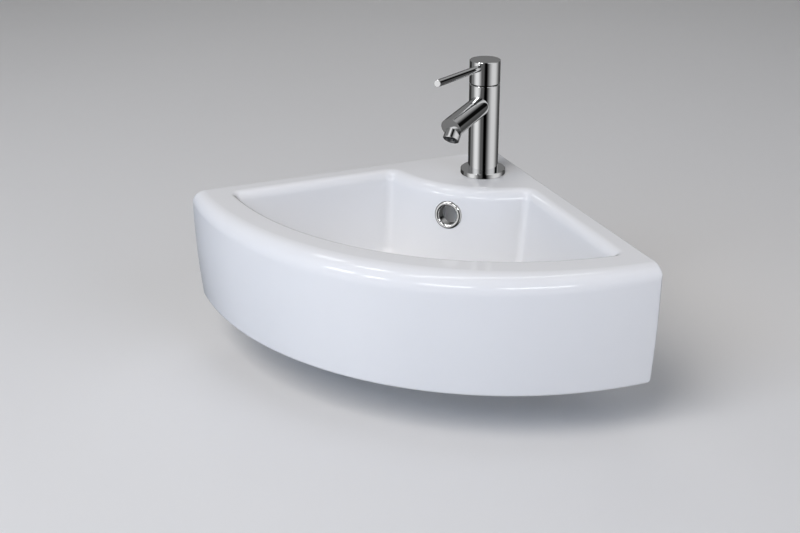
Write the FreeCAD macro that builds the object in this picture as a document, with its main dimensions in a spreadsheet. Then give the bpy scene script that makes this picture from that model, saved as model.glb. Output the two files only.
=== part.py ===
"""Wall-hung corner basin with its tap, overflow ring and push-open waste.

Millimetres. The origin is where the two walls meet, level with the rim. +Z is up, the arc front faces -Y
and the walls run from the origin at 45 degrees to both sides.
"""

import FreeCAD, Part
import Sketcher
import math
import os

doc = FreeCAD.newDocument("corner_basin")

# ---------------------------------------------------------------- driving dimensions

SIZES = [
    # ceramic
    ("side_length", 320.0, "wall corner to the widest line of the arc front"),
    ("basin_height", 110.0, "rim to the skirt's foot"),
    ("widest_depth", 38.0, "rim down to the front's widest line"),
    ("front_curve", 820.0, "radius of the front's upright curve"),
    ("rim_round", 14.0, "rounding of the front's top edge"),
    ("foot_round", 3.0, "rounding of the front's bottom edge"),
    ("corner_round", 4.0, "rounding of the upright edge in the wall corner"),
    ("edge_round", 2.0, "rounding of the edges along the walls"),
    ("skirt_wall", 13.0, "front skirt's thickness at its widest line"),
    ("back_wall", 10.0, "thickness of the two walls against the house walls"),
    ("rim_slab", 12.0, "thickness of the rim and the tap deck"),
    ("side_rim", 22.0, "house wall to the bowl's side, at the rim"),
    ("deck_reach", 124.0, "wall corner to the bowl's back, at the rim"),
    ("bowl_front", 282.0, "wall corner to the bowl's front, at the rim"),
    ("bowl_depth", 82.0, "rim to the bowl's floor"),
    ("bowl_draft", 9.0, "slope of the bowl's walls, degrees from upright"),
    ("bowl_wall", 8.0, "thickness of the bowl's walls and floor"),
    ("bowl_corner_round", 9.0, "rounding of the bowl's upright corners"),
    ("bowl_floor_round", 8.5, "rounding between the bowl's walls and floor"),
    ("bowl_rim_round", 8.0, "rounding between the rim and the bowl"),
    ("waste_forward", 200.0, "wall corner to the waste's axis"),
    ("dish_radius", 48.0, "top radius of the floor's fall to the waste"),
    ("floor_fall", 3.0, "fall of the floor to the waste's seat"),
    ("seat_step", 3.0, "step down to the waste's seat"),
    ("seat_radius", 34.5, "radius of the waste's seat"),
    ("waste_hole_radius", 23.0, "hole through the ceramic for the waste"),
    ("boss_radius", 37.0, "ceramic boss round the waste"),
    ("tap_forward", 69.9, "wall corner to the tap's axis, forward"),
    ("tap_side", 13.7, "tap's axis to the right of the middle"),
    ("tap_hole_radius", 17.5, "hole in the tap deck"),
    ("fixing_along", 190.0, "wall corner to a fixing hole, along the house wall"),
    ("fixing_depth", 60.0, "rim down to a fixing hole's axis"),
    ("fixing_radius", 6.0, "radius of a fixing hole"),
    # overflow
    ("overflow_depth", 26.2, "rim down to the overflow hole's axis"),
    ("overflow_hole_radius", 10.8, "overflow hole in the bowl's back"),
    ("duct_back", 17.0, "the duct's far side behind the bowl's edge"),
    ("duct_front", 4.5, "the duct's near side behind the bowl's edge"),
    ("duct_half_width", 11.0, "half of the duct's inner width"),
    ("duct_wall", 6.0, "ceramic round the duct"),
    ("duct_top", 94.0, "rim down to the roof of the duct's level run"),
    ("duct_height", 8.0, "height of the duct's level run"),
    ("ring_radius", 13.6, "overflow ring, outside"),
    ("ring_bore", 9.2, "overflow ring, hole"),
    ("ring_thick", 2.4, "overflow ring, how far it stands proud"),
    ("ring_sleeve", 9.5, "overflow ring, length of its sleeve"),
    # tap, measured up from the deck
    ("tap_radius", 14.8, "tap body and cap, outside"),
    ("flange_radius", 22.1, "base flange, outside"),
    ("flange_top", 5.0, "base flange, top"),
    ("flange_lift", 0.3, "base flange, clear of the deck"),
    ("gasket_radius", 21.0, "base gasket, outside"),
    ("gasket_thick", 1.0, "base gasket, thickness"),
    ("cap_gap_height", 90.4, "top of the tap body"),
    ("cap_gap", 0.8, "gap under the turning cap"),
    ("tap_height", 113.5, "top of the cap"),
    ("trim", 0.5, "small bevel on the turned chrome edges"),
    ("cap_wall", 2.2, "cap, thickness of its skirt"),
    ("cap_hollow", 8.0, "cap, depth of its hollow"),
    ("socket_depth", 8.0, "cap, depth of the spindle's socket"),
    ("spout_height", 71.5, "spout's axis where it meets the tap's axis"),
    ("spout_turn", 6.0, "spout and lever, degrees to the left of straight forward"),
    ("spout_fall", 5.7, "spout, degrees below level"),
    ("spout_radius", 10.0, "spout tube, outside"),
    ("spout_bore", 6.0, "spout tube, inside radius"),
    ("spout_reach", 70.1, "tap's axis to the middle of the spout's end"),
    ("mouth_turn", 14.7, "normal of the spout's end, degrees down from the spout's axis"),
    ("bore_stop", 10.1, "middle of the bore's round end, this far before the spout's end"),
    ("nozzle_turn", 42.5, "nozzle, degrees down from the spout's axis"),
    ("nozzle_drop", 7.1, "nozzle's axis below the middle of the spout's end"),
    ("nozzle_radius", 7.7, "nozzle, outside"),
    ("nozzle_wall", 1.55, "nozzle, thickness"),
    ("nozzle_length", 8.4, "nozzle's mouth beyond the middle of the spout's end, along its axis"),
    ("nozzle_seat", 4.1, "nozzle's inner end behind that middle, along its axis"),
    ("nozzle_socket", 4.6, "bottom of the nozzle's socket behind that middle"),
    ("aerator_thick", 4.0, "aerator, thickness"),
    ("aerator_inset", 0.8, "aerator, how far it sits inside the nozzle's mouth"),
    ("aerator_hole", 0.9, "aerator, radius of each hole"),
    ("aerator_pitch", 3.3, "aerator, radius of its ring of holes"),
    ("lever_height", 106.9, "lever's axis where it meets the tap's axis"),
    ("lever_rise", 3.9, "lever, degrees above level"),
    ("lever_radius", 3.27, "lever pin, radius"),
    ("lever_reach", 97.3, "tap's axis to the lever's end"),
    ("lever_root", 7.5, "tap's axis to the lever's inner end"),
    ("lever_seat", 13.4, "tap's axis to the shoulder of the lever's thread"),
    ("lever_thread", 2.5, "lever's threaded stub, radius"),
    ("grub_radius", 2.0, "grub screw, radius"),
    ("grub_length", 7.0, "grub screw, length"),
    ("grub_height", 103.0, "grub screw's axis above the deck"),
    # headwork
    ("chamber_floor", 50.0, "bottom of the tap body's chamber"),
    ("chamber_radius", 9.5, "radius of the chamber"),
    ("shoulder_height", 84.0, "shoulder that the headwork's head sits on"),
    ("head_radius", 12.0, "counterbore for the headwork's head"),
    ("head_thick", 4.0, "headwork's head, thickness"),
    ("seat_thick", 2.0, "rubber seat, thickness"),
    ("disc_radius", 7.5, "ceramic discs, radius"),
    ("disc_thick", 3.0, "each ceramic disc, thickness"),
    ("port_radius", 2.0, "ports in the ceramic discs, radius"),
    ("port_offset", 3.8, "ports, off the tap's axis"),
    ("driver_thick", 2.5, "spindle's driver above the turning disc"),
    ("spindle_radius", 4.35, "spindle's bearing radius"),
    ("collar_radius", 6.0, "collar that keeps the spindle in"),
    ("collar_thick", 2.0, "that collar's thickness"),
    ("neck_height", 76.0, "start of the headwork's narrow bore"),
    ("ring_height", 81.0, "spindle's O-ring"),
    ("ring_section", 0.68, "O-ring, radius of its section"),
    ("window_height", 66.0, "middle of the headwork's side windows"),
    ("window_radius", 3.5, "radius of those windows"),
    # shank and what clamps the tap
    ("inlet_radius", 10.48, "G1/2 thread, outside radius"),
    ("inlet_bore", 6.5, "shank, inside radius"),
    ("shank_length", 46.0, "shank's length below the deck's top"),
    ("spigot_radius", 8.0, "shank's spigot in the tap body"),
    ("spigot_length", 15.0, "length of that spigot"),
    ("waterway_radius", 5.5, "tap body's water way"),
    ("deck_washer_radius", 21.0, "rubber washer under the deck, outside"),
    ("deck_washer_thick", 3.0, "rubber washer under the deck, thickness"),
    ("clamp_washer_radius", 19.0, "metal washer, outside"),
    ("clamp_washer_thick", 1.5, "metal washer, thickness"),
    ("relief_drop", 2.0, "a nut's underside down to the groove at the end of its thread"),
    ("relief_width", 1.5, "that groove's width"),
    ("relief_depth", 0.6, "that groove's depth"),
    ("tap_nut_flats", 30.0, "tap's backnut across its flats"),
    ("tap_nut_thick", 7.5, "tap's backnut, thickness"),
    # waste, measured down from its seat
    ("outlet_radius", 20.95, "G1 1/4 thread, outside radius"),
    ("outlet_bore", 18.2, "waste tube, inside radius"),
    ("outlet_length", 70.0, "waste tube's length below the seat"),
    ("waste_gasket_thick", 2.0, "gasket under the waste's flange"),
    ("waste_flange_radius", 31.5, "waste's flange, outside"),
    ("waste_flange_thick", 2.5, "waste's flange, thickness"),
    ("mouth_radius", 27.5, "waste's mouth, at the top of its bevel"),
    ("slot_width", 13.0, "overflow slots in the waste tube, width"),
    ("bar_drop", 26.0, "seat down to the top of the cross bar"),
    ("bar_thick", 5.0, "cross bar, thickness"),
    ("bar_width", 3.0, "width of the cross bar's arms"),
    ("hub_radius", 8.0, "hub of the cross bar"),
    ("cartridge_radius", 5.0, "click cartridge, outside"),
    ("cartridge_collar", 6.8, "click cartridge, its collar's radius"),
    ("cartridge_above", 7.0, "click cartridge above the cross bar"),
    ("cartridge_below", 18.0, "click cartridge below the cross bar's top"),
    ("cartridge_floor", 1.5, "click cartridge, thickness of its bottom"),
    ("stem_radius", 3.0, "plug's stem, radius"),
    ("spring_wire", 0.45, "spring, radius of its wire"),
    ("spring_length", 9.0, "spring, length with the plug shut"),
    ("spring_turns", 6.0, "spring, number of turns"),
    ("plug_radius", 29.5, "plug's dome, radius"),
    ("plug_thick", 5.5, "plug's dome, height"),
    ("plug_round", 2.5, "rounding of the dome's edge"),
    ("plug_land", 14.0, "step under the dome that the seal fits round, radius"),
    ("plug_hub", 6.0, "hub under the dome, radius"),
    ("plug_hub_length", 8.0, "hub under the dome, length"),
    ("seal_gap", 0.3, "plug's seal, radial gap in the waste's bore"),
    ("seal_thick", 2.8, "plug's seal, thickness"),
    ("lower_gasket_thick", 4.0, "gasket under the boss, thickness"),
    ("lower_gasket_radius", 31.0, "gasket under the boss, outside"),
    ("waste_nut_flats", 54.0, "waste's backnut across its flats"),
    ("waste_nut_thick", 8.0, "waste's backnut, thickness"),
    # fits
    ("running", 0.05, "radial clearance of a turning or sliding fit"),
    ("thread_gap", 0.05, "radial clearance of a screwed or pushed-in piece"),
    ("rest_gap", 0.3, "gap between pieces that move apart"),
    ("washer_gap", 0.4, "radial clearance of a washer on its thread"),
]

sheet = doc.addObject("Spreadsheet::Sheet", "dims")
for row, (name, value, meaning) in enumerate(SIZES, start=1):
    sheet.set(f"A{row}", name)
    sheet.set(f"B{row}", str(value))
    sheet.set(f"C{row}", meaning)
    sheet.setAlias(f"B{row}", name)
doc.recompute()


def sized(text):
    """An expression in the sheet's names, such as '-$basin_height / 2', as FreeCAD reads it."""
    return text.replace("$", "dims.")


# ---------------------------------------------------------------- levels shared by several pieces

SEAT = "(-$bowl_depth - $floor_fall - $seat_step)"
DUCT_BACK = "($deck_reach - $duct_back)"
DUCT_FRONT = "($deck_reach - $duct_front)"
OVERFLOW_WALL = "($deck_reach + $overflow_depth * tan($bowl_draft))"
TAP_X, TAP_Y = "$tap_side", "-$tap_forward"
WASTE_X, WASTE_Y = "0", "-$waste_forward"
CAP_FOOT = "($cap_gap_height + $cap_gap)"
CAP_SOLID = f"({CAP_FOOT} + $cap_hollow)"
SOCKET_TOP = f"({CAP_SOLID} + $socket_depth)"
FIXED_DISC = "($chamber_floor + $seat_thick)"
TURNING_DISC = f"({FIXED_DISC} + $disc_thick + $running)"
DRIVER = f"({TURNING_DISC} + $disc_thick)"
DECK_UNDER = "(-$rim_slab)"
CLAMP_TOP = f"({DECK_UNDER} - $deck_washer_thick)"
NUT_TOP = f"({CLAMP_TOP} - $clamp_washer_thick)"
NUT_FOOT = f"({NUT_TOP} - $tap_nut_thick)"
FLANGE_FOOT = f"({SEAT} + $waste_gasket_thick)"
FLANGE_TOP = f"({FLANGE_FOOT} + $waste_flange_thick)"
BAR_TOP = f"({SEAT} - $bar_drop)"
CARTRIDGE_FOOT = f"({BAR_TOP} - $cartridge_below)"
SPRING_FOOT = f"({CARTRIDGE_FOOT} + $cartridge_floor)"
STEM_FOOT = f"({SPRING_FOOT} + $spring_length + $rest_gap)"
PLUG_FOOT = f"({FLANGE_TOP} + $rest_gap)"
BOSS_FOOT = "(-$duct_top - $duct_height - $duct_wall)"
GASKET_FOOT = f"({BOSS_FOOT} - $lower_gasket_thick)"
WASTE_NUT_FOOT = f"({GASKET_FOOT} - $waste_nut_thick)"


# ---------------------------------------------------------------- helpers


def bind(thing, **places):
    """Binds properties to expressions; a double underscore in the keyword stands for a dot."""
    for path, text in places.items():
        thing.setExpression(path.replace("__", "."), sized(text))


def stand(thing, at=("0", "0", "0"), yaw="0", roll="0"):
    """Places a thing at a point, turned by roll about X and then by yaw about Z."""
    x, y, z = at
    bind(thing, Placement__Base__x=x, Placement__Base__y=y, Placement__Base__z=z)
    bind(thing, Placement__Rotation__Yaw=yaw, Placement__Rotation__Roll=roll)


def new_body(name):
    body = doc.addObject("PartDesign::Body", name)
    body.Label = name
    return body


def sketch_on(body, role, name, height="0"):
    """A sketch on one of the body's own origin planes, moved along its normal."""
    plane = next(f for f in body.Origin.OriginFeatures if f.Role == role)
    sketch = body.newObject("Sketcher::SketchObject", name)
    sketch.AttachmentSupport = [(plane, "")]
    sketch.MapMode = "FlatFace"
    bind(sketch, AttachmentOffset__Base__z=height)
    return sketch


def fix(sketch, kind, *where, size):
    """A dimensional constraint bound to an expression."""
    start = float(sketch.evalExpression(sized(size)))
    index = sketch.addConstraint(Sketcher.Constraint(kind, *where, start))
    sketch.setExpression(f"Constraints[{index}]", sized(size))


FIRST_MIDDLE, FIRST_REACH = FreeCAD.Vector(30, 30, 0), 9   # where an outline's corners start


def outline(sketch, corners):
    """A closed outline of straight lines through corners given as two expressions each."""
    count = len(corners)
    turn = 2 * math.pi / count
    bearings = [turn * i for i in range(count)]
    first = [FIRST_MIDDLE + FreeCAD.Vector(math.cos(b), math.sin(b), 0) * FIRST_REACH for b in bearings]
    for i in range(count):
        sketch.addGeometry(Part.LineSegment(first[i], first[(i + 1) % count]), False)
    for i in range(count):
        sketch.addConstraint(Sketcher.Constraint("Coincident", i, 2, (i + 1) % count, 1))
    for i, (across, up) in enumerate(corners):
        for kind, text, axis in (("DistanceX", across, -2), ("DistanceY", up, -1)):
            if text == "0":
                sketch.addConstraint(Sketcher.Constraint("PointOnObject", i, 1, axis))
            else:
                fix(sketch, kind, -1, 1, i, 1, size=text)


def turned(name, corners, at=("0", "0", "0"), yaw="0", roll="0"):
    """A piece turned about its own Z axis from an outline of (radius, height) corners."""
    body = new_body(name)
    profile = sketch_on(body, "XZ_Plane", f"{name}_profile")
    outline(profile, corners)
    turn = body.newObject("PartDesign::Revolution", f"{name}_turn")
    turn.Profile = profile
    turn.ReferenceAxis = (profile, ["V_Axis"])
    turn.Angle = 360
    stand(body, at, yaw, roll)
    return body


def relief(radius, nut_foot):
    """The outline's four corners of the thread's relief groove below a nut."""
    top = f"({nut_foot} - $relief_drop)"
    foot, bottom = f"({top} - $relief_width)", f"({radius} - $relief_depth)"
    return [(radius, foot), (bottom, foot), (bottom, top), (radius, top)]


def washer(name, inner, outer, foot, top, at):
    """A flat ring between two heights."""
    x, y = at
    return turned(name, [(inner, foot), (outer, foot), (outer, top), (inner, top)], (x, y, "0"))


def primitive(body, kind, name, at, yaw="0", roll="0", **places):
    """A PartDesign primitive, such as SubtractiveCylinder, in the body's own frame."""
    feature = body.newObject(f"PartDesign::{kind}", name)
    stand(feature, at, yaw, roll)
    bind(feature, **places)
    return feature


def drill(body, name, radius, length, at, yaw="0", roll="0"):
    """A round hole that starts at a point and runs along the turned Z axis."""
    return primitive(body, "SubtractiveCylinder", name, at, yaw, roll, Radius=radius, Height=length)


def extrude(body, kind, sketch, length, draft="0", downward=True):
    """A Pad or Pocket of a level sketch, downward unless told otherwise."""
    feature = body.newObject(f"PartDesign::{kind}", f"{sketch.Name}_{kind}")
    feature.Profile = sketch
    feature.Type = 0
    bind(feature, Length=length, TaperAngle=draft)
    feature.Reversed = downward == (kind == "Pad")
    return feature


def round_edges(body, name, radius, wanted):
    """Rounds the edges of the body's tip that the test picks out."""
    doc.recompute()
    tip = body.Tip
    names = [f"Edge{i}" for i, edge in enumerate(tip.Shape.Edges, start=1) if wanted(edge)]
    if not names:
        raise ValueError(f"{name}: no edge to round")
    feature = body.newObject("PartDesign::Fillet", name)
    feature.Base = (tip, names)
    bind(feature, Radius=radius)
    return feature


def hexagon_nut(name, flats, bore, thick, top, at):
    """A hexagon nut below a height."""
    body = new_body(name)
    face = sketch_on(body, "XY_Plane", f"{name}_face")
    reach = f"{flats} / 2 / cos(30)"
    outline(face, [(f"{reach} * cos({60 * i})", f"{reach} * sin({60 * i})") for i in range(6)])
    extrude(body, "Pad", face, thick)
    drill(body, f"{name}_thread", bore, f"3 * {thick}", ("0", "0", f"-2 * {thick}"))
    x, y = at
    stand(body, (x, y, top))
    return body


# ---------------------------------------------------------------- the ceramic basin
# In the basin's own frame the front is +X and the right is +Y.
# It is turned by -90 degrees to stand in place.

FLAT = 0.01
HALF_TURN = math.radians(45)


def number(name):
    return float(sheet.get(name))


def sector(sketch, inset, outer, inner=None):
    """A quarter ring centred on +X: two sides parallel to the house walls and arcs about the wall corner.

    inset, outer and inner are (expression, first guess) pairs. Without inner the two sides meet."""
    gap, far = inset[1], outer[1]
    near = inner[1] if inner else gap * math.sqrt(2)

    def corner(reach, side):
        bearing = HALF_TURN - math.asin(min(1.0, gap / reach)) if inner or reach == far else 0.0
        return FreeCAD.Vector(reach * math.cos(bearing), side * reach * math.sin(bearing), 0)

    up = FreeCAD.Vector(0, 0, 1)
    half = math.atan2(corner(far, 1).y, corner(far, 1).x)
    sketch.addGeometry(Part.LineSegment(corner(near, -1), corner(far, -1)), False)
    sketch.addGeometry(Part.ArcOfCircle(Part.Circle(FreeCAD.Vector(), up, far), -half, half), False)
    sketch.addGeometry(Part.LineSegment(corner(far, 1), corner(near, 1)), False)
    join = [(0, 2, 1, 1), (1, 2, 2, 1)]
    if inner:
        half = math.atan2(corner(near, 1).y, corner(near, 1).x)
        sketch.addGeometry(Part.ArcOfCircle(Part.Circle(FreeCAD.Vector(), up, near), -half, half), False)
        join += [(2, 2, 3, 2), (3, 1, 0, 1), (3, 3, -1, 1)]
    else:
        join += [(2, 2, 0, 1)]
    for ends in join + [(1, 3, -1, 1)]:
        sketch.addConstraint(Sketcher.Constraint("Coincident", *ends))
    sketch.addConstraint(Sketcher.Constraint("Perpendicular", 0, 2))
    index = sketch.addConstraint(Sketcher.Constraint("Angle", 0, -HALF_TURN))
    sketch.setExpression(f"Constraints[{index}]", "-45 deg")
    for side in (0, 2):
        index = sketch.addConstraint(Sketcher.Constraint("Distance", -1, 1, side, gap))
        sketch.setExpression(f"Constraints[{index}]", sized(inset[0]))
    for arc, size in ((1, outer), (3, inner)):
        if size:
            index = sketch.addConstraint(Sketcher.Constraint("Radius", arc, size[1]))
            sketch.setExpression(f"Constraints[{index}]", sized(size[0]))


def level(edge):
    """The height of a level edge, or None."""
    box = edge.BoundBox
    return box.ZMin if box.ZMax - box.ZMin < FLAT else None


def is_at(edge, height):
    """Whether the edge lies level at a height."""
    return level(edge) is not None and abs(level(edge) - height) < FLAT


def wall_gap(point):
    """How far a point stands from the nearer house wall."""
    return (point.x - abs(point.y)) / math.sqrt(2)


def middle(edge):
    first, last = edge.ParameterRange
    return edge.valueAt((first + last) / 2)


def quarter_block(body):
    """The solid quarter round with its curved front."""
    length, height = number("side_length"), number("basin_height")
    curve, widest = number("front_curve"), number("widest_depth")
    centre = FreeCAD.Vector(length - curve, -widest, 0)
    top_angle = math.asin(widest / curve)
    foot_angle = -math.asin((height - widest) / curve)
    profile = sketch_on(body, "XZ_Plane", "block_profile")
    arc = Part.ArcOfCircle(Part.Circle(centre, FreeCAD.Vector(0, 0, 1), curve), foot_angle, top_angle)
    origin, foot = FreeCAD.Vector(), FreeCAD.Vector(0, -height, 0)
    for line in (
        Part.LineSegment(origin, arc.EndPoint),
        arc,
        Part.LineSegment(arc.StartPoint, foot),
        Part.LineSegment(foot, origin),
    ):
        profile.addGeometry(line, False)
    for ends in ((0, 1, -1, 1), (0, 2, 1, 2), (1, 1, 2, 1), (2, 2, 3, 1), (3, 2, 0, 1)):
        profile.addConstraint(Sketcher.Constraint("Coincident", *ends))
    for line in (0, 2):
        profile.addConstraint(Sketcher.Constraint("Horizontal", line))
    profile.addConstraint(Sketcher.Constraint("Vertical", 3))
    fix(profile, "DistanceY", -1, 1, 2, 2, size="-$basin_height")
    fix(profile, "DistanceX", -1, 1, 1, 3, size="$side_length - $front_curve")
    fix(profile, "DistanceY", -1, 1, 1, 3, size="-$widest_depth")
    fix(profile, "Radius", 1, size="$front_curve")
    turn = body.newObject("PartDesign::Revolution", "block_turn")
    turn.Profile = profile
    turn.ReferenceAxis = (profile, ["V_Axis"])
    turn.Angle = 90
    turn.Midplane = True


def round_block(body):
    """Rounds the block's outer edges, the front first and then all that runs along the house walls."""
    height, length = number("basin_height"), number("side_length")

    def front(at):
        return lambda e: is_at(e, at) and wall_gap(middle(e)) > length / 4

    def apex(edge):
        return all(v.X**2 + v.Y**2 < FLAT for v in edge.Vertexes)

    def along_wall(edge):
        point = middle(edge)
        near = wall_gap(point) < number("corner_round") and point.z > -height + FLAT
        if level(edge) is None:
            return near and wall_gap(point) <= FLAT and point.x >= number("back_wall")
        return near and not is_at(edge, -height)

    round_edges(body, "rim_rounding", "$rim_round", front(0.0))
    round_edges(body, "foot_rounding", "$foot_round", front(-height))
    round_edges(body, "corner_rounding", "$corner_round", apex)
    round_edges(body, "wall_edge_rounding", "$edge_round", along_wall)


def channel(name, body, back, front, side, height):
    """A stretch of the overflow's duct in plan; side is what is added round it."""
    sketch = sketch_on(body, "XY_Plane", name, height)
    half, far = f"($duct_half_width + {side})", f"({back} - {side})"
    outline(sketch, [(far, f"-{half}"), (front, f"-{half}"), (front, half), (far, half)])
    return sketch


def basin_body():
    body = new_body("basin_body")
    stand(body, yaw="-90")
    quarter_block(body)
    round_block(body)
    wall, length = number("back_wall"), number("side_length")

    hollow = sketch_on(body, "XY_Plane", "hollow", "-$rim_slab")
    sector(hollow, ("$back_wall", wall), ("$side_length - $skirt_wall", length - number("skirt_wall")))
    extrude(body, "Pocket", hollow, "$basin_height")

    shell = sketch_on(body, "XY_Plane", "shell", "-$rim_slab / 2")
    draft_in = "$rim_slab / 2 * tan($bowl_draft)"
    sector(
        shell,
        (f"$side_rim - $bowl_wall + {draft_in}", number("side_rim") - number("bowl_wall")),
        (f"$bowl_front + $bowl_wall - {draft_in}", number("bowl_front") + number("bowl_wall")),
        (f"$deck_reach - $bowl_wall + {draft_in}", number("deck_reach") - number("bowl_wall")),
    )
    extrude(body, "Pad", shell, "$bowl_depth + $bowl_wall - $rim_slab / 2", draft="-$bowl_draft")

    bowl_back = "$deck_reach + $bowl_depth * tan($bowl_draft)"
    casing = channel("duct_casing", body, DUCT_BACK, bowl_back, "$duct_wall", "-$rim_slab / 2")
    extrude(body, "Pad", casing, f"-{BOSS_FOOT} - $rim_slab / 2")
    below_bowl = "-$bowl_depth - $bowl_wall / 2"
    run = channel("run_casing", body, DUCT_BACK, "$waste_forward", "$duct_wall", below_bowl)
    extrude(body, "Pad", run, f"-{BOSS_FOOT} - $bowl_depth - $bowl_wall / 2")
    primitive(
        body,
        "AdditiveCylinder",
        "waste_boss",
        ("$waste_forward", "0", BOSS_FOOT),
        Radius="$boss_radius",
        Height=f"-{BOSS_FOOT} - $bowl_depth - $bowl_wall / 2",
    )

    bowl = sketch_on(body, "XY_Plane", "bowl")
    sector(
        bowl,
        ("$side_rim", number("side_rim")),
        ("$bowl_front", number("bowl_front")),
        ("$deck_reach", number("deck_reach")),
    )
    extrude(body, "Pocket", bowl, "$bowl_depth", draft="-$bowl_draft")
    round_bowl(body)

    primitive(
        body,
        "SubtractiveCone",
        "floor_dish",
        ("$waste_forward", "0", "-$bowl_depth - $floor_fall"),
        Radius1="$seat_radius",
        Radius2="$dish_radius",
        Height="$floor_fall",
    )
    drill(body, "waste_seat", "$seat_radius", "$seat_step + $floor_fall", ("$waste_forward", "0", SEAT))
    under_foot = ("$waste_forward", "0", "-1.2 * $basin_height")
    drill(body, "waste_hole", "$waste_hole_radius", "$basin_height", under_foot)
    duct = channel("duct", body, DUCT_BACK, DUCT_FRONT, "0", "-$rim_slab")
    extrude(body, "Pocket", duct, "$duct_top + $duct_height - $rim_slab")
    run = channel("duct_run", body, DUCT_BACK, "$waste_forward", "0", "-$duct_top")
    extrude(body, "Pocket", run, "$duct_height")
    behind = "1.4 * $bowl_wall"
    drill(
        body,
        "overflow_hole",
        "$overflow_hole_radius",
        "2 * $duct_half_width",
        (f"{OVERFLOW_WALL} - {behind}", "0", f"-$overflow_depth - {behind} * tan($bowl_draft)"),
        yaw="90",
        roll="90 - $bowl_draft",
    )
    under_deck = ("$tap_forward", "$tap_side", "-2 * $rim_slab")
    drill(body, "tap_hole", "$tap_hole_radius", "3 * $rim_slab", under_deck)
    for side, sign in (("left", -1), ("right", 1)):
        drill(
            body,
            f"{side}_fixing_hole",
            "$fixing_radius",
            "1.4 * $back_wall",
            (
                f"($fixing_along - 0.2 * $back_wall) / sqrt(2)",
                f"{sign} * ($fixing_along + 0.2 * $back_wall) / sqrt(2)",
                "-$fixing_depth",
            ),
            yaw=f"90 - {sign} * 45",
            roll="90",
        )
    return body


def round_bowl(body):
    """Rounds the bowl's upright corners, then its floor, then its rim."""
    depth, side_rim = number("bowl_depth"), number("side_rim")
    front, deck = number("bowl_front"), number("deck_reach")

    def upright(edge):
        heights = sorted(v.Z for v in edge.Vertexes)
        return len(heights) == 2 and abs(heights[0] + depth) < FLAT and abs(heights[1]) < FLAT

    def floor(edge):
        return is_at(edge, -depth)

    def rim(edge):
        point = middle(edge)
        reach = math.hypot(point.x, point.y)
        inside = wall_gap(point) > side_rim - FLAT and deck - FLAT < reach < front + FLAT
        return is_at(edge, 0.0) and inside

    round_edges(body, "bowl_corner_rounding", "$bowl_corner_round", upright)
    round_edges(body, "bowl_floor_rounding", "$bowl_floor_round", floor)
    round_edges(body, "bowl_rim_rounding", "$bowl_rim_round", rim)


# ---------------------------------------------------------------- overflow ring


def overflow_ring():
    sleeve = "($overflow_hole_radius - $thread_gap)"
    bevel = "$ring_thick / 2"
    return turned(
        "overflow_ring",
        [
            ("$ring_bore", "-$ring_sleeve"),
            (sleeve, "-$ring_sleeve"),
            (sleeve, "$thread_gap"),
            ("$ring_radius", "$thread_gap"),
            ("$ring_radius", bevel),
            (f"$ring_radius - {bevel}", "$ring_thick"),
            (f"$ring_bore + {bevel}", "$ring_thick"),
            ("$ring_bore", bevel),
        ],
        ("0", f"-{OVERFLOW_WALL}", "-$overflow_depth"),
        roll="90 - $bowl_draft",
    )


# ---------------------------------------------------------------- tap


def base_gasket():
    hole = "$inlet_radius + $washer_gap"
    return washer("base_gasket", hole, "$gasket_radius", "0", "$gasket_thick", (TAP_X, TAP_Y))


def base_flange():
    bore = "($inlet_radius + $thread_gap)"
    recess = "($gasket_radius + $thread_gap)"
    return turned(
        "base_flange",
        [
            (bore, "$gasket_thick"),
            (recess, "$gasket_thick"),
            (recess, "$flange_lift"),
            ("$flange_radius", "$flange_lift"),
            ("$flange_radius", "$flange_top - $trim"),
            ("$flange_radius - $trim", "$flange_top"),
            (bore, "$flange_top"),
        ],
        (TAP_X, TAP_Y, "0"),
    )


def tap_body():
    socket = "($spigot_radius + $thread_gap)"
    socket_top = "($flange_top + $spigot_length + $rest_gap)"
    body = turned(
        "tap_body",
        [
            (socket, "$flange_top"),
            ("$tap_radius", "$flange_top"),
            ("$tap_radius", "$cap_gap_height - $trim"),
            ("$tap_radius - $trim", "$cap_gap_height"),
            ("$head_radius", "$cap_gap_height"),
            ("$head_radius", "$shoulder_height"),
            ("$chamber_radius", "$shoulder_height"),
            ("$chamber_radius", "$chamber_floor"),
            ("$waterway_radius", "$chamber_floor"),
            ("$waterway_radius", socket_top),
            (socket, socket_top),
        ],
        (TAP_X, TAP_Y, "0"),
        yaw="-$spout_turn",
    )
    start, fall = ("0", "0", "$spout_height"), "90 + $spout_fall"
    drill(body, "spout_port", "$spout_bore", "2 * $tap_radius", start, roll=fall)
    return body


def along(distance, height, dip):
    """A point out from the tap's axis in the spout's direction, dip degrees below level."""
    level_reach = f"({distance} * cos({dip}))"
    return (
        f"{TAP_X} - {level_reach} * sin($spout_turn)",
        f"{TAP_Y} - {level_reach} * cos($spout_turn)",
        f"{height} - {distance} * sin({dip})",
    )


MOUTH_DIP = "($spout_fall + $mouth_turn)"
NOZZLE_DIP = "($spout_fall + $nozzle_turn)"


def nozzle_point(outward):
    """A point on the nozzle's axis, this far out of the spout's end."""
    sine, cosine = f"sin({NOZZLE_DIP})", f"cos({NOZZLE_DIP})"
    reach = f"($spout_reach * cos($spout_fall) - $nozzle_drop * {sine} + {outward} * {cosine})"
    down = f"($spout_reach * sin($spout_fall) + $nozzle_drop * {cosine} + {outward} * {sine})"
    return (
        f"{TAP_X} - {reach} * sin($spout_turn)",
        f"{TAP_Y} - {reach} * cos($spout_turn)",
        f"$spout_height - {down}",
    )


def rod(name, radius, length, at, roll):
    """A Part cylinder that runs from a point in the spout's direction."""
    cylinder = doc.addObject("Part::Cylinder", name)
    bind(cylinder, Radius=radius, Height=length)
    stand(cylinder, at, "-$spout_turn", roll)
    return cylinder


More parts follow.
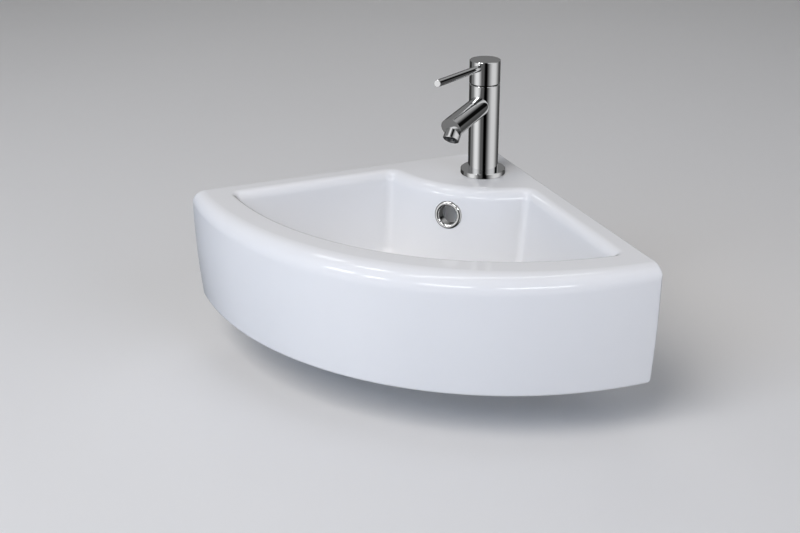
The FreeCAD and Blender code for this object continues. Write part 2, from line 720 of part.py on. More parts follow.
def combine(kind, name, base, tool):
    """A Part boolean of two objects."""
    result = doc.addObject(f"Part::{kind}", name)
    result.Base = base
    result.Tool = tool
    result.Label = name
    return result


def spout():
    axis = along("0", "$spout_height", "$spout_fall")
    lean = "90 + $spout_fall"
    tube = rod("spout_tube", "$spout_radius", "$spout_reach + 2 * $spout_radius", axis, lean)
    bore = rod("spout_tube_bore", "$spout_bore", "$spout_reach - $bore_stop", axis, lean)
    beyond = rod("spout_beyond", "4 * $spout_radius", "4 * $spout_radius",
                 along("$spout_reach", "$spout_height", "$spout_fall"), f"90 + {MOUTH_DIP}")
    socket = rod("nozzle_hole", "$nozzle_radius + $thread_gap", "$nozzle_socket + $spout_radius",
                 nozzle_point("-$nozzle_socket"), f"90 + {NOZZLE_DIP}")
    bend = doc.addObject("Part::Sphere", "spout_bore_end")
    bind(bend, Radius="$spout_bore")
    stand(bend, along("($spout_reach - $bore_stop)", "$spout_height", "$spout_fall"))
    column = doc.addObject("Part::Cylinder", "tap_column")
    bind(column, Radius="$tap_radius", Height="$tap_height")
    stand(column, (TAP_X, TAP_Y, "0"))
    slanted = combine("Cut", "spout_slanted", tube, beyond)
    saddled = combine("Cut", "spout_saddled", slanted, column)
    bored = combine("Cut", "spout_bored", saddled, bore)
    rounded = combine("Cut", "spout_bore_rounded", bored, bend)
    return combine("Cut", "spout", rounded, socket)


def nozzle():
    inner = "($nozzle_radius - $nozzle_wall)"
    return turned(
        "nozzle",
        [
            (inner, "-$nozzle_seat"),
            ("$nozzle_radius", "-$nozzle_seat"),
            ("$nozzle_radius", "$nozzle_length - $trim"),
            ("$nozzle_radius - $trim", "$nozzle_length"),
            (inner, "$nozzle_length"),
        ],
        nozzle_point("0"),
        yaw="-$spout_turn",
        roll=f"90 + {NOZZLE_DIP}",
    )


def aerator():
    outer = "($nozzle_radius - $nozzle_wall - $thread_gap)"
    top = "($nozzle_length - $aerator_inset)"
    foot = f"({top} - $aerator_thick)"
    body = turned(
        "aerator",
        [("0", foot), (outer, foot), (outer, top), ("0", top)],
        nozzle_point("0"),
        yaw="-$spout_turn",
        roll=f"90 + {NOZZLE_DIP}",
    )
    ring = [f"{60 * i}" for i in range(6)]
    spots = [("0", "0")] + [(f"$aerator_pitch * cos({a})", f"$aerator_pitch * sin({a})") for a in ring]
    for i, (x, y) in enumerate(spots):
        start = (x, y, f"{foot} - $aerator_thick")
        drill(body, f"aerator_hole_{i}", "$aerator_hole", "3 * $aerator_thick", start)
    return body


def handle_cap():
    hollow = "($tap_radius - $cap_wall)"
    socket = "($spindle_radius + $thread_gap)"
    body = turned(
        "handle_cap",
        [
            (socket, CAP_SOLID),
            (hollow, CAP_SOLID),
            (hollow, CAP_FOOT),
            ("$tap_radius - $trim", CAP_FOOT),
            ("$tap_radius", f"{CAP_FOOT} + $trim"),
            ("$tap_radius", "$tap_height - $trim"),
            ("$tap_radius - $trim", "$tap_height"),
            ("0", "$tap_height"),
            ("0", SOCKET_TOP),
            (socket, SOCKET_TOP),
        ],
        (TAP_X, TAP_Y, "0"),
        yaw="-$spout_turn",
    )
    lean = "90 - $lever_rise"
    for name, radius, start in (
        ("lever_thread_hole", "$lever_thread + $thread_gap", "$lever_root - $rest_gap"),
        ("lever_hole", "$lever_radius + $thread_gap", "$lever_seat - $thread_gap"),
    ):
        at = ("0", f"-({start}) * cos($lever_rise)", f"$lever_height + ({start}) * sin($lever_rise)")
        drill(body, name, radius, "$tap_radius", at, roll=lean)
    start, bore = ("0", "0", "$grub_height"), "$grub_radius + $thread_gap"
    drill(body, "grub_hole", bore, "2 * $tap_radius", start, roll="-90")
    return body


def lever_pin():
    return turned(
        "lever_pin",
        [
            ("0", "$lever_root"),
            ("$lever_thread", "$lever_root"),
            ("$lever_thread", "$lever_seat"),
            ("$lever_radius", "$lever_seat"),
            ("$lever_radius", "$lever_reach - $trim / 2"),
            ("$lever_radius - $trim / 2", "$lever_reach"),
            ("0", "$lever_reach"),
        ],
        along("0", "$lever_height", "$spout_fall"),
        yaw="-$spout_turn",
        roll="90 - $lever_rise",
    )


def grub_screw():
    start = "($spindle_radius + $thread_gap)"
    end = f"({start} + $grub_length)"
    return turned(
        "grub_screw",
        [("0", start), ("$grub_radius", start), ("$grub_radius", end), ("0", end)],
        (TAP_X, TAP_Y, "$grub_height"),
        yaw="180 - $spout_turn",
        roll="90",
    )


# ---------------------------------------------------------------- headwork


def headwork_body():
    outer = "($chamber_radius - $thread_gap)"
    sleeve = "($disc_radius + 2 * $running)"
    neck = "($spindle_radius + $running)"
    top = "($shoulder_height + $head_thick)"
    body = turned(
        "headwork_body",
        [
            (sleeve, FIXED_DISC),
            (outer, FIXED_DISC),
            (outer, "$shoulder_height"),
            ("$head_radius - $thread_gap", "$shoulder_height"),
            ("$head_radius - $thread_gap", top),
            (neck, top),
            (neck, "$neck_height"),
            (sleeve, "$neck_height"),
        ],
        (TAP_X, TAP_Y, "0"),
        yaw="-$spout_turn",
    )
    drill(
        body, "headwork_windows", "$window_radius", "3 * $chamber_radius",
        ("0", "1.5 * $chamber_radius", "$window_height"), roll="90",
    )
    return body


def headwork_seat():
    return washer(
        "headwork_seat", "$waterway_radius", "$chamber_radius - $thread_gap", "$chamber_floor", FIXED_DISC,
        (TAP_X, TAP_Y),
    )


def ceramic_disc(name, foot, radius, bearing):
    """A ceramic disc with two ports on a line at a bearing from the spout's direction."""
    top = f"({foot} + $disc_thick)"
    body = turned(
        name,
        [("0", foot), (radius, foot), (radius, top), ("0", top)],
        (TAP_X, TAP_Y, "0"),
        yaw=f"{bearing} - $spout_turn",
    )
    for i, sign in enumerate(("", "-")):
        drill(
            body, f"{name}_port_{i}", "$port_radius", "3 * $disc_thick",
            ("0", f"{sign}$port_offset", f"{foot} - $disc_thick"),
        )
    return body


def spindle():
    groove = "($spindle_radius - 2 * $ring_section)"
    groove_low = "($ring_height - $ring_section - $running)"
    groove_high = "($ring_height + $ring_section + $running)"
    collar_top = "($neck_height - $running)"
    collar_foot = f"({collar_top} - $collar_thick)"
    top = f"({SOCKET_TOP} - $rest_gap)"
    return turned(
        "spindle",
        [
            ("0", DRIVER),
            ("$disc_radius", DRIVER),
            ("$disc_radius", f"{DRIVER} + $driver_thick"),
            ("$spindle_radius", f"{DRIVER} + $driver_thick"),
            ("$spindle_radius", collar_foot),
            ("$collar_radius", collar_foot),
            ("$collar_radius", collar_top),
            ("$spindle_radius", collar_top),
            ("$spindle_radius", groove_low),
            (groove, groove_low),
            (groove, groove_high),
            ("$spindle_radius", groove_high),
            ("$spindle_radius", top),
            ("0", top),
        ],
        (TAP_X, TAP_Y, "0"),
    )


def spindle_ring():
    ring = doc.addObject("Part::Torus", "spindle_ring")
    bind(ring, Radius1="$spindle_radius - $ring_section", Radius2="$ring_section - $running / 2")
    stand(ring, (TAP_X, TAP_Y, "$ring_height"))
    return ring


# ---------------------------------------------------------------- shank and clamping pieces


def tap_shank():
    return turned(
        "tap_shank",
        [
            ("$inlet_bore", "-$shank_length"),
            ("$inlet_radius", "-$shank_length"),
            *relief("$inlet_radius", NUT_FOOT),
            ("$inlet_radius", "$flange_top"),
            ("$spigot_radius", "$flange_top"),
            ("$spigot_radius", "$flange_top + $spigot_length"),
            ("$inlet_bore", "$flange_top + $spigot_length"),
        ],
        (TAP_X, TAP_Y, "0"),
    )


def clamping_pieces():
    hole, thread = "($inlet_radius + $washer_gap)", "$inlet_radius + $thread_gap"
    place = (TAP_X, TAP_Y)
    return [
        washer("deck_washer", hole, "$deck_washer_radius", CLAMP_TOP, DECK_UNDER, place),
        washer("clamp_washer", hole, "$clamp_washer_radius", NUT_TOP, CLAMP_TOP, place),
        hexagon_nut("tap_backnut", "$tap_nut_flats", thread, "$tap_nut_thick", NUT_TOP, place),
    ]


# ---------------------------------------------------------------- waste


def waste_body():
    body = turned(
        "waste_body",
        [
            ("$outlet_bore", f"{SEAT} - $outlet_length"),
            ("$outlet_radius", f"{SEAT} - $outlet_length"),
            *relief("$outlet_radius", WASTE_NUT_FOOT),
            ("$outlet_radius", FLANGE_FOOT),
            ("$waste_flange_radius", FLANGE_FOOT),
            ("$waste_flange_radius", f"{FLANGE_TOP} - $trim"),
            ("$waste_flange_radius - $trim", FLANGE_TOP),
            ("$mouth_radius", FLANGE_TOP),
            ("$outlet_bore", f"{FLANGE_FOOT} + $trim"),
        ],
        (WASTE_X, WASTE_Y, "0"),
    )
    bar_foot = f"{BAR_TOP} - $bar_thick"
    for i, turn in enumerate((-120, 0, 120)):
        primitive(
            body,
            "SubtractiveBox",
            f"overflow_slot_{i}",
            (
                f"$slot_width / 2 * sin({turn})",
                f"-$slot_width / 2 * cos({turn})",
                "-$duct_top - $duct_height",
            ),
            yaw=f"{turn}",
            Length="1.2 * $outlet_radius",
            Width="$slot_width",
            Height="$duct_height",
        )
    for i, turn in enumerate((-150, -30, 90)):
        primitive(
            body,
            "AdditiveBox",
            f"cross_bar_{i}",
            (f"$bar_width / 2 * sin({turn})", f"-$bar_width / 2 * cos({turn})", bar_foot),
            yaw=f"{turn}",
            Length="($outlet_bore + $outlet_radius) / 2",
            Width="$bar_width",
            Height="$bar_thick",
        )
    primitive(
        body,
        "AdditiveCylinder",
        "cross_bar_hub",
        ("0", "0", bar_foot),
        Radius="$hub_radius",
        Height="$bar_thick",
    )
    under_bar = ("0", "0", f"{bar_foot} - $bar_thick")
    drill(body, "hub_thread", "$cartridge_radius + $thread_gap", "3 * $bar_thick", under_bar)
    return body


def click_cartridge():
    bore = "($stem_radius + $running)"
    top = f"({BAR_TOP} + $cartridge_above)"
    return turned(
        "click_cartridge",
        [
            ("0", CARTRIDGE_FOOT),
            ("$cartridge_radius", CARTRIDGE_FOOT),
            ("$cartridge_radius", BAR_TOP),
            ("$cartridge_collar", BAR_TOP),
            ("$cartridge_collar", f"{BAR_TOP} + $cartridge_floor"),
            ("$cartridge_radius", f"{BAR_TOP} + $cartridge_floor"),
            ("$cartridge_radius", top),
            (bore, top),
            (bore, SPRING_FOOT),
            ("0", SPRING_FOOT),
        ],
        (WASTE_X, WASTE_Y, "0"),
    )


def plug_spring():
    """A round-wire spring under the stem, swept along a helix."""
    helix = doc.addObject("Part::Helix", "spring_helix")
    coil = "($stem_radius - 2 * $spring_wire)"
    bind(
        helix,
        Radius=coil,
        Pitch="($spring_length - 2 * $spring_wire) / $spring_turns",
        Height="$spring_length - 2 * $spring_wire",
    )
    wire = doc.addObject("Part::Circle", "spring_wire_section")
    bind(wire, Radius="$spring_wire")
    stand(wire, (coil, "0", "0"), roll="90")
    spring = doc.addObject("Part::Sweep", "plug_spring")
    spring.Sections = [wire]
    spring.Spine = helix
    spring.Solid = True
    spring.Frenet = True
    stand(spring, (WASTE_X, WASTE_Y, f"{SPRING_FOOT} + $spring_wire"))
    return spring


def plug_stem():
    top = f"({PLUG_FOOT} - $thread_gap)"
    corners = [("0", STEM_FOOT), ("$stem_radius", STEM_FOOT), ("$stem_radius", top), ("0", top)]
    return turned("plug_stem", corners, (WASTE_X, WASTE_Y, "0"))


def plug_cap():
    top = f"({PLUG_FOOT} + $plug_thick)"
    socket = "($stem_radius + $thread_gap)"
    hub_foot = f"({PLUG_FOOT} - $plug_hub_length)"
    body = turned(
        "plug_cap",
        [
            ("0", PLUG_FOOT),
            (socket, PLUG_FOOT),
            (socket, hub_foot),
            ("$plug_hub", hub_foot),
            ("$plug_hub", f"{PLUG_FOOT} - $seal_thick"),
            ("$plug_land", f"{PLUG_FOOT} - $seal_thick"),
            ("$plug_land", PLUG_FOOT),
            ("$plug_radius", PLUG_FOOT),
            ("$plug_radius", top),
            ("0", top),
        ],
        (WASTE_X, WASTE_Y, "0"),
    )
    doc.recompute()
    height = body.Tip.Shape.BoundBox.ZMax
    round_edges(body, "plug_rounding", "$plug_round", lambda e: is_at(e, height))
    return body


def waste_rings():
    place = (WASTE_X, WASTE_Y)
    hole, thread = "($outlet_radius + $washer_gap)", "$outlet_radius + $thread_gap"
    land, rim = "$plug_land + $thread_gap", "$outlet_bore - $seal_gap"
    return [
        washer("waste_gasket", hole, "$waste_flange_radius - $trim", SEAT, FLANGE_FOOT, place),
        washer("plug_seal", land, rim, f"{PLUG_FOOT} - $seal_thick", PLUG_FOOT, place),
        washer("lower_gasket", hole, "$lower_gasket_radius", GASKET_FOOT, BOSS_FOOT, place),
        hexagon_nut("waste_backnut", "$waste_nut_flats", thread, "$waste_nut_thick", GASKET_FOOT, place),
    ]


# ---------------------------------------------------------------- build, check and write

pieces = [
    basin_body(),
    overflow_ring(),
    base_gasket(),
    base_flange(),
    tap_body(),
    spout(),
    nozzle(),
    aerator(),
    handle_cap(),
    lever_pin(),
    grub_screw(),
    headwork_body(),
    headwork_seat(),
    ceramic_disc("fixed_disc", FIXED_DISC, "$disc_radius + $running", "0"),
    ceramic_disc("turning_disc", TURNING_DISC, "$disc_radius", "90"),
    spindle(),
    spindle_ring(),
    tap_shank(),
    *clamping_pieces(),
    waste_body(),
    click_cartridge(),
    plug_spring(),
    plug_stem(),
    plug_cap(),
    *waste_rings(),
]
doc.recompute()

failed = [o.Name for o in doc.Objects if "Invalid" in o.State or "Error" in o.State]
failed += [p.Label for p in pieces if p.Shape.isNull() or not p.Shape.isValid() or not p.Shape.Solids]
if failed:
    raise ValueError(f"these objects didn't build: {failed}")

os.makedirs("parts", exist_ok=True)
for piece in pieces:
    piece.Shape.exportStep(f"parts/{piece.Label}.step")
    box = piece.Shape.BoundBox
    print(f"{piece.Label:18s} solids {len(piece.Shape.Solids)}  volume {piece.Shape.Volume:10.1f}  "
          f"z {box.ZMin:8.2f} to {box.ZMax:8.2f}")
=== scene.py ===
import math

import bmesh
import bpy
import numpy as np
from mathutils import Matrix, Vector


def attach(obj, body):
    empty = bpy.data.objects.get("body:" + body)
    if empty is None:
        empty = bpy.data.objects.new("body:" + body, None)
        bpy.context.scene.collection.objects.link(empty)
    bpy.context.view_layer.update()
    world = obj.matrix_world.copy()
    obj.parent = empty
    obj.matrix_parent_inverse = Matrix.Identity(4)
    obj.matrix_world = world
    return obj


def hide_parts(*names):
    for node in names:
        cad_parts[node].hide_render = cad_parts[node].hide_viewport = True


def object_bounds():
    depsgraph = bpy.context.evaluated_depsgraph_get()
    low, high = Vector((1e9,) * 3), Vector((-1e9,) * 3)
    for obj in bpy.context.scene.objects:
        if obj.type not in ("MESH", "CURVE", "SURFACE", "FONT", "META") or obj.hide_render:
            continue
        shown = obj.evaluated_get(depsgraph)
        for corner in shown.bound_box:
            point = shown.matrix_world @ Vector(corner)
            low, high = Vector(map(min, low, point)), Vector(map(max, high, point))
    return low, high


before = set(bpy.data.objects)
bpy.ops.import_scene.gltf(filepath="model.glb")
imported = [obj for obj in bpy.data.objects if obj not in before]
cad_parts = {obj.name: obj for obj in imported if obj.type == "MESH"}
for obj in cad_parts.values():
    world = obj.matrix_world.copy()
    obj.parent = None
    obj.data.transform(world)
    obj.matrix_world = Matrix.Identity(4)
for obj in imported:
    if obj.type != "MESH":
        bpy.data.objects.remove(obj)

CAD_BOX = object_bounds()
MM = 0.001
ROOT_HALF = math.sqrt(0.5)
SHARP_ANGLE = math.radians(40)

# ---------------------------------------------------------------- camera

VIEW_AZIMUTH = math.radians(24.082)      # from -Y towards +X
VIEW_ELEVATION = math.radians(24.767)
VIEW_ROLL = math.radians(-0.676)
VIEW_DISTANCE = 1158.088 * MM
VIEW_RIGHT = -99.461 * MM
VIEW_UP = -122.276 * MM
LENS, SENSOR_WIDTH = 49.5, 36.0          # millimetres, as cameras count them
CLIP_START, CLIP_END = 0.01, 50.0        # metres


def way_to(azimuth, elevation):
    """The unit arrow towards an azimuth, from -Y towards +X, and an elevation."""
    level = math.cos(elevation)
    return Vector((math.sin(azimuth) * level, -math.cos(azimuth) * level, math.sin(elevation)))


def make_camera():
    back = way_to(VIEW_AZIMUTH, VIEW_ELEVATION)
    right = Vector((math.cos(VIEW_AZIMUTH), math.sin(VIEW_AZIMUTH), 0.0))
    up = back.cross(right)
    place = back * VIEW_DISTANCE + right * VIEW_RIGHT + up * VIEW_UP
    cosine, sine = math.cos(VIEW_ROLL), math.sin(VIEW_ROLL)
    right, up = right * cosine + up * sine, up * cosine - right * sine
    data = bpy.data.cameras.new("camera")
    data.sensor_fit = "HORIZONTAL"
    data.sensor_width = SENSOR_WIDTH
    data.lens = LENS
    data.clip_start, data.clip_end = CLIP_START, CLIP_END
    camera = bpy.data.objects.new("camera", data)
    turn = Matrix((right, up, back)).transposed().to_4x4()
    camera.matrix_world = Matrix.Translation(place) @ turn
    bpy.context.collection.objects.link(camera)
    bpy.context.scene.camera = camera


# ---------------------------------------------------------------- node helper


class Graph:
    """The node tree of a material or of the world, with short calls to add and link nodes."""

    def __init__(self, owner):
        owner.use_nodes = True
        self.tree = owner.node_tree
        self.tree.nodes.clear()

    def add(self, kind, links=None, **settings):
        node = self.tree.nodes.new(kind)
        for key, value in settings.items():
            setattr(node, key, value)
        for socket, value in (links or {}).items():
            self.put(node.inputs[socket], value)
        return node

    def put(self, socket, value):
        if isinstance(value, bpy.types.NodeSocket):
            self.tree.links.new(value, socket)
        else:
            socket.default_value = value

    def math(self, operation, *values):
        node = self.add("ShaderNodeMath", operation=operation)
        for i, value in enumerate(values):
            self.put(node.inputs[i], value)
        return node.outputs[0]

    def times(self, *values):
        product = values[0]
        for value in values[1:]:
            product = self.math("MULTIPLY", product, value)
        return product

    def ramp(self, value, low, high, to_low=0.0, to_high=1.0):
        """value from low..high mapped smoothly to to_low..to_high, held beyond both ends."""
        node = self.add("ShaderNodeMapRange", interpolation_type="SMOOTHSTEP")
        for socket, number in zip(node.inputs, (value, low, high, to_low, to_high)):
            self.put(socket, number)
        return node.outputs[0]

    def noise(self, where, scale, detail=2.0, rough=0.5):
        links = {"Vector": where, "Scale": scale, "Detail": detail, "Roughness": rough}
        return self.add("ShaderNodeTexNoise", links).outputs["Fac"]

    def mix(self, share, one, other):
        """A colour between two, by the share of the second."""
        node = self.add("ShaderNodeMix", data_type="RGBA")
        self.put(node.inputs["Factor"], share)
        first, second = [socket for socket in node.inputs if socket.type == "RGBA"]
        self.put(first, one)
        self.put(second, other)
        return [socket for socket in node.outputs if socket.type == "RGBA"][0]

    def bump(self, height, distance, strength):
        links = {"Height": height, "Distance": distance, "Strength": strength}
        return self.add("ShaderNodeBump", links).outputs[0]

    def place(self):
        """The point of the surface in the row frame, in metres."""
        return self.add("ShaderNodeTexCoord").outputs["Object"]

    def split(self, vector):
        return self.add("ShaderNodeSeparateXYZ", {0: vector}).outputs[:3]


def surface(name, **sockets):
    material = bpy.data.materials.new(name)
    graph = Graph(material)
    out = graph.add("ShaderNodeOutputMaterial")
    shader = graph.add("ShaderNodeBsdfPrincipled", {k.replace("_", " "): v for k, v in sockets.items()})
    graph.tree.links.new(shader.outputs[0], out.inputs["Surface"])
    return material, graph, shader


# ---------------------------------------------------------------- materials

# Pairs of colours that a noise mixes.
GLAZE = (0.862, 0.867, 0.880, 1), (0.880, 0.884, 0.894, 1)
BISCUIT = (0.70, 0.68, 0.64, 1), (0.78, 0.76, 0.72, 1)
CHROME = (0.86, 0.868, 0.880, 1), (0.90, 0.904, 0.910, 1)
# Ramps, each from, to, result before and result after.
GLAZE_ROUGHNESS = (0.3, 0.7, 0.035, 0.060)
CHROME_ROUGHNESS = (0.35, 0.75, 0.025, 0.060)
BARE_AT_WALL = (-0.6 * MM, -0.3 * MM, 0.0, 1.0)
BARE_AT_FOOT = (-109.4 * MM, -108.6 * MM, 1.0, 0.0)
BARE_ROUGHNESS = 0.6             # added to the glaze's
GRIT_HEIGHT = 2.0                # times the glaze's waves
BUMP = 0.03 * MM, 0.5            # distance and strength
GRAIN_RANGE = 0.3, 0.7           # of the noise, over which the roughness changes
GRAIN_SHADE, GRAIN_SPREAD = 0.85, 0.15       # shares of the colour and of the roughness


def ceramic():
    """White glaze that stops short of the foot and of the faces on the walls, which are bare and matt."""
    material, graph, shader = surface("white_ceramic", Roughness=0.05, IOR=1.5)
    where = graph.place()
    x, y, z = graph.split(where)
    past_wall = graph.times(graph.math("ADD", graph.math("ABSOLUTE", x), y), ROOT_HALF)
    bare = graph.math("MAXIMUM", graph.ramp(past_wall, *BARE_AT_WALL), graph.ramp(z, *BARE_AT_FOOT))
    grit = graph.noise(where, scale=900.0, detail=3.0, rough=0.6)
    glaze = graph.mix(graph.noise(where, scale=7.0, detail=3.0), *GLAZE)
    biscuit = graph.mix(grit, *BISCUIT)
    graph.put(shader.inputs["Base Color"], graph.mix(bare, glaze, biscuit))
    gloss = graph.ramp(graph.noise(where, scale=35.0), *GLAZE_ROUGHNESS)
    graph.put(shader.inputs["Roughness"], graph.math("ADD", gloss, graph.times(bare, BARE_ROUGHNESS)))
    waves = graph.noise(where, scale=90.0, detail=1.0)
    relief = graph.math("ADD", waves, graph.times(grit, bare, GRIT_HEIGHT))
    graph.put(shader.inputs["Normal"], graph.bump(relief, *BUMP))
    return material


def chrome():
    material, graph, shader = surface("bright_chrome", Metallic=1.0, Roughness=0.04)
    smudge = graph.noise(graph.place(), scale=55.0, detail=4.0, rough=0.6)
    graph.put(shader.inputs["Base Color"], graph.mix(smudge, *CHROME))
    graph.put(shader.inputs["Roughness"], graph.ramp(smudge, *CHROME_ROUGHNESS))
    return material


def grained(name, colour, metal, rough):
    """A plain material with a fine grain in its colour, gloss and relief."""
    material, graph, shader = surface(name, Metallic=metal, Roughness=rough)
    grain = graph.noise(graph.place(), scale=300.0, detail=3.0)
    darker = tuple(part * GRAIN_SHADE for part in colour) + (1,)
    graph.put(shader.inputs["Base Color"], graph.mix(grain, darker, colour + (1,)))
    span = rough * (1 - GRAIN_SPREAD), rough * (1 + GRAIN_SPREAD)
    graph.put(shader.inputs["Roughness"], graph.ramp(grain, *GRAIN_RANGE, *span))
    graph.put(shader.inputs["Normal"], graph.bump(grain, *BUMP))
    return material


FINISH = {
    "white_ceramic": ceramic(),
    "bright_chrome": chrome(),
    "brass": grained("brass", (0.72, 0.52, 0.26), 1.0, 0.30),
    "steel": grained("steel", (0.56, 0.56, 0.57), 1.0, 0.32),
    "black_rubber": grained("black_rubber", (0.018, 0.018, 0.019), 0.0, 0.6),
    "aerator_plastic": grained("aerator_plastic", (0.05, 0.052, 0.055), 0.0, 0.4),
    "disc_ceramic": grained("disc_ceramic", (0.78, 0.77, 0.74), 0.0, 0.25),
}

# What bright metal may mirror: the tap's own pieces, and nothing that is out of sight under the basin.
MIRRORED = ("base_flange", "tap_body", "spout", "nozzle", "aerator", "handle_cap", "lever_pin")


def finish_nodes():
    """Gives every CAD node the material of its record slot."""
    for name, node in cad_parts.items():
        node.visible_glossy = name in MIRRORED
        for slot in node.material_slots:
            slot.material = FINISH[slot.material.name.split(".")[0]]


# ---------------------------------------------------------------- the basin's loops

# Millimetres. The mounting walls stand at 45 degrees to both sides of -Y and meet at the origin, and the
# rim is at height 0. The surface is one closed skin of loops: out of the waste's hole, over the bowl's
# floor, walls and rim, down the skirt, round the foot and back under the bowl to the hole.
DRAFT = math.radians(9)
BOWL_FRONT, BOWL_BACK, SIDE_RIM, BOWL_DEPTH, BOWL_WALL = 283.6, 124.6, 22.0, 82.0, 8.0
CORNER_FRONT, CORNER_BACK, FLOOR_ROUND, FLOOR_MARGIN = 4.5, 8.5, 8.5, 0.8
RIM_FRONT_ROUND, RIM_SIDE_ROUND, RIM_BACK_ROUND = 4.0, 10.5, 13.0
# How far the flat rim's own loops stand off the roundings of the bowl, the front and the wall edges.
RIM_STEP, BROW_STEP, EDGE_STEP = 0.5, 0.6, 0.5
LENGTH, HEIGHT, BELLY, BELLY_DEPTH = 320.0, 110.0, 820.0, 38.0
BROW_MIDDLE, BROW_END = 17.0, 12.5           # rounding of the front's top edge
BROW_LAST = math.cos(0.03)                   # the largest share of it that a drop is worked out for
EDGE_ROUND, FOOT_ROUND, UPRIGHT_ROUND, APEX_ROUND = 2.0, 3.0, 3.0, 5.0
SKIRT_WALL, BACK_WALL, SLAB = 13.0, 10.0, 12.0
HOLLOW_ROUND, HOLLOW_CHAMFER, BOWL_FOOT_ROUND = 5.0, 1.0, 7.0
UNDER_DEPTHS = (SLAB, SLAB + 0.8, 30.0, 50.0, 70.0, BOWL_DEPTH)      # of the loops down the bowl's outside
WASTE_Y, WASTE_HOLE, SEAT, DISH, BOSS, BOSS_FILLET = -200.0, 23.0, 34.5, 50.0, 37.0, 4.0
SEAT_Z, SEAT_EDGE_Z, BOSS_Z = -88.0, -85.0, -108.0
CHAMFER, HOLE_CHAMFER = 0.6, 0.5

# The parts of every loop, with their numbers of points, anticlockwise from the front's left end.
SEGMENTS = (("front", 84), ("right_front", 10), ("right", 34), ("right_back", 8), ("back", 44),
            ("left_back", 8), ("left", 34), ("left_front", 10))
SEGMENT = np.repeat([name for name, _ in SEGMENTS], [count for _, count in SEGMENTS])
SHARE = np.concatenate([np.arange(count) / count for _, count in SEGMENTS])
RING = len(SHARE)
# The rim's inner rounding at the start and the end of each part.
RIM_ROUNDS = {
    "front": (RIM_FRONT_ROUND, RIM_FRONT_ROUND), "right_front": (RIM_FRONT_ROUND, RIM_SIDE_ROUND),
    "right": (RIM_SIDE_ROUND, RIM_SIDE_ROUND), "right_back": (RIM_SIDE_ROUND, RIM_BACK_ROUND),
    "back": (RIM_BACK_ROUND, RIM_BACK_ROUND), "left_back": (RIM_BACK_ROUND, RIM_SIDE_ROUND),
    "left": (RIM_SIDE_ROUND, RIM_SIDE_ROUND), "left_front": (RIM_SIDE_ROUND, RIM_FRONT_ROUND),
}
RIM_SMOOTHER = 9                 # points that each smoothing of these roundings averages

SIDES_END = 124.0                # where an outer loop's sides give way to its way round the wall corner
SIDES_EVEN = 0.13                # share of even spacing along them, the rest closing up to the front
APEX_START = 0.43                # share of that way at which the turn in the wall corner begins


def ring_of(value):
    return np.broadcast_to(np.asarray(value, float), (RING,))


def loop_at(plan, z):
    return np.column_stack([plan, ring_of(z)])


def at_wall(side, along, gap):
    """Points by their distance along a mounting wall (side +1 is the right one) and their gap from it."""
    return np.stack([side * ROOT_HALF * (along - gap), -ROOT_HALF * (along + gap)], -1)


def arc_at(reach, azimuth):
    """Points of an arc about the wall corner, by their azimuth from -Y towards +X."""
    return np.stack([reach * np.sin(azimuth), -reach * np.cos(azimuth)], -1)


def round_corner(points, name, share, centre, from_arc, from_wall):
    """Lays the named corner's arc between the direction of the loop's arc and that of the wall."""
    here = SEGMENT == name
    radius = np.linalg.norm(from_wall, axis=1)[here, None]
    start = np.arctan2(from_arc[:, 1], from_arc[:, 0])
    end = np.arctan2(from_wall[:, 1], from_wall[:, 0])
    turn = (end - start + math.pi) % (2 * math.pi) - math.pi
    angle = (start + turn * share)[here]
    points[here] = centre[here] + radius * np.stack([np.cos(angle), np.sin(angle)], -1)


def outward_by(centre, length):
    """Arrows of a given length from each centre, away from the wall corner."""
    return centre / np.linalg.norm(centre, axis=1)[:, None] * length[:, None]


def front_and_sides(points, reach, gap, corner):
    """The front arc and its two corners; returns how far along the walls these corners end."""
    along = np.sqrt((reach - corner) ** 2 - (gap + corner) ** 2)
    for side, name, share in ((1, "right_front", SHARE), (-1, "left_front", 1 - SHARE)):
        centre = at_wall(side, along, gap + corner)
        to_wall = at_wall(side, along, gap) - centre
        round_corner(points, name, share, centre, outward_by(centre, corner), to_wall)
    half = math.pi / 4 - np.arcsin((gap + corner) / (reach - corner))
    front = SEGMENT == "front"
    points[front] = arc_at(reach, half * (2 * SHARE - 1))[front]
    return along


def bowl_ring(inward, z):
    """A loop inside the bowl, moved inward of the rim's sharp outline by as much as it is told."""
    inward = ring_of(inward)
    points = np.zeros((RING, 2))
    gap = SIDE_RIM + inward
    grow = np.maximum(-inward, 0)
    along_front = front_and_sides(points, BOWL_FRONT - inward, gap, CORNER_FRONT + grow)
    reach, corner = BOWL_BACK + inward, CORNER_BACK + grow
    along_back = np.sqrt((reach + corner) ** 2 - (gap + corner) ** 2)
    for side, name, share in ((1, "right_back", 1 - SHARE), (-1, "left_back", SHARE)):
        centre = at_wall(side, along_back, gap + corner)
        to_wall = at_wall(side, along_back, gap) - centre
        round_corner(points, name, share, centre, -outward_by(centre, corner), to_wall)
    half = math.pi / 4 - np.arcsin((gap + corner) / (reach + corner))
    back = SEGMENT == "back"
    points[back] = arc_at(reach, half * (1 - 2 * SHARE))[back]
    for side, name, share in ((1, "right", SHARE), (-1, "left", 1 - SHARE)):
        here = SEGMENT == name
        points[here] = at_wall(side, along_front + (along_back - along_front) * share, gap)[here]
    return loop_at(points, z)


